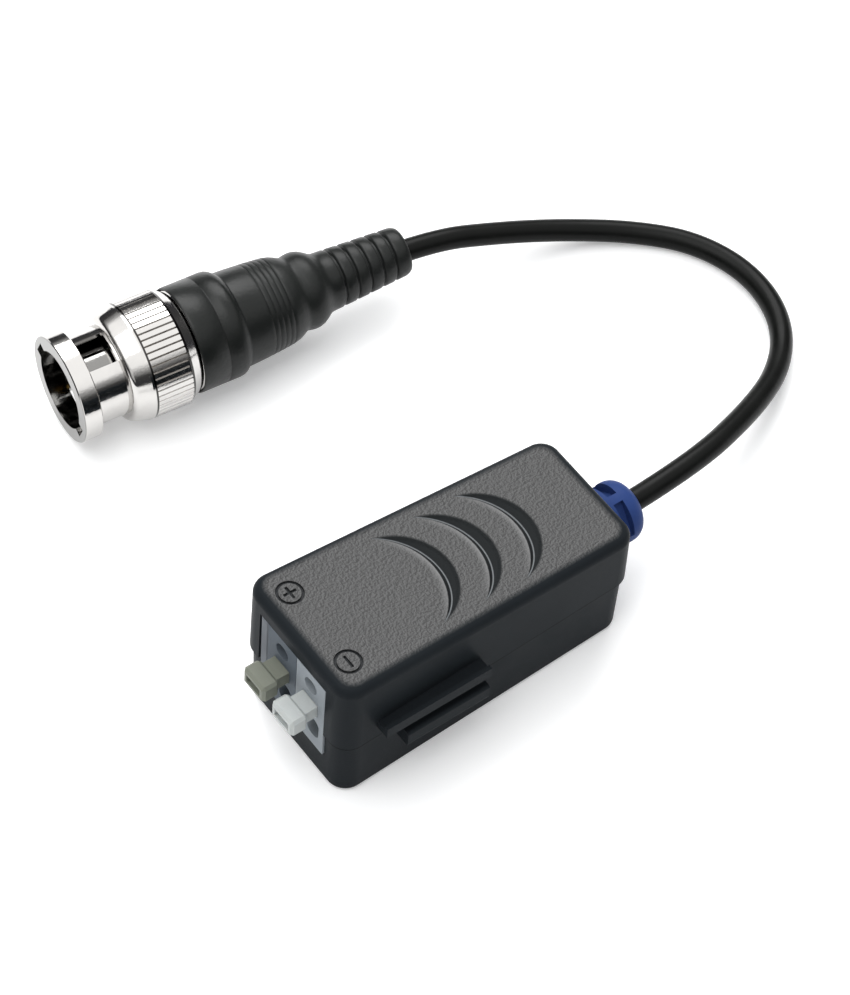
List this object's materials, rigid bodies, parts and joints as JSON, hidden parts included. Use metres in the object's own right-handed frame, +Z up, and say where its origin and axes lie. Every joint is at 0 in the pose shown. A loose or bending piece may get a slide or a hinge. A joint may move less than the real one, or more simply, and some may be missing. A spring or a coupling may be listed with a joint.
{
  "type": "cctv video balun",
  "caption": "Small moulded box with a push terminal for a twisted pair, joined by a short lead to a bayonet video plug with a knurled coupling nut.",
  "frame": {"origin": "middle of the box's underside, on the surface that the box and the plug lie on", "axes": "+X from the push terminals to the lead, +Y to the side where the plug lies, +Z up"},
  "size_m": [0.0899, 0.0687, 0.02],
  "materials": {
    "box_plastic": "fine spark grain on top, satin sides",
    "terminal_grey": "moulded nylon",
    "terminal_white": "moulded nylon",
    "button_grey": "moulded nylon",
    "button_white": "moulded nylon",
    "spring_steel": "rolled strip",
    "tinned_copper": "tinned",
    "board": "solder resist",
    "ferrite": "sintered",
    "enamelled_copper": "enamelled",
    "chip_black": "moulded epoxy",
    "chip_tan": "fired",
    "relief_blue": "moulded soft plastic",
    "jacket_black": "satin",
    "wire_white": "drawn insulation",
    "nickel": "bright nickel plate",
    "gold": "gold flash",
    "fluoroplastic": "turned",
    "silicone": "moulded",
    "moulding": "natural"
  },
  "bodies": {
    "balun": {"housing_top": "box_plastic", "housing_bottom": "box_plastic", "terminal_grey": "terminal_grey", "terminal_white": "terminal_white", "terminal_end_plate": "terminal_white", "clamp_leaf_grey": "spring_steel", "clamp_leaf_white": "spring_steel", "contact_grey": "tinned_copper", "contact_white": "tinned_copper", "circuit_board": "board", "ferrite_core": "ferrite", "winding_pair_side": "enamelled_copper", "winding_coax_side": "enamelled_copper", "surge_diode": "chip_black", "coupling_capacitor": "chip_tan", "matching_resistor": "chip_black", "strain_relief": "relief_blue", "cable": "jacket_black", "lead_core": "wire_white", "lead_screen": "tinned_copper", "plug_body": "nickel", "plug_pin": "gold", "plug_insulator": "fluoroplastic", "plug_gasket": "silicone", "spring_washer": "spring_steel", "inner_moulding": "moulding", "boot": "jacket_black"},
    "button_grey": {"button_grey": "button_grey"},
    "button_white": {"button_white": "button_white"},
    "nut_washer": {"thrust_washer": "spring_steel"},
    "nut": {"coupling_nut": "nickel"}
  },
  "joints": [
    {"name": "push_grey", "type": "slide", "parent": "balun", "child": "button_grey", "axis": [1, 0, 0], "range_m": [0, 0.0013], "stiffness_N_per_m": 1500, "springref_m": -0.0005},
    {"name": "push_white", "type": "slide", "parent": "balun", "child": "button_white", "axis": [1, 0, 0], "range_m": [0, 0.0013], "stiffness_N_per_m": 1500, "springref_m": -0.0005},
    {"name": "nut_draw", "type": "slide", "parent": "balun", "child": "nut_washer", "axis": [-0.9941, 0.1087, 0], "range_m": [0, 0.00025], "stiffness_N_per_m": 8000, "springref_m": -0.0003},
    {"name": "nut_turn", "type": "hinge", "parent": "nut_washer", "child": "nut", "pos_m": [-0.0104, 0.05014, 0.00725], "axis": [0.9941, -0.1087, 0], "continuous": true}
  ]
}
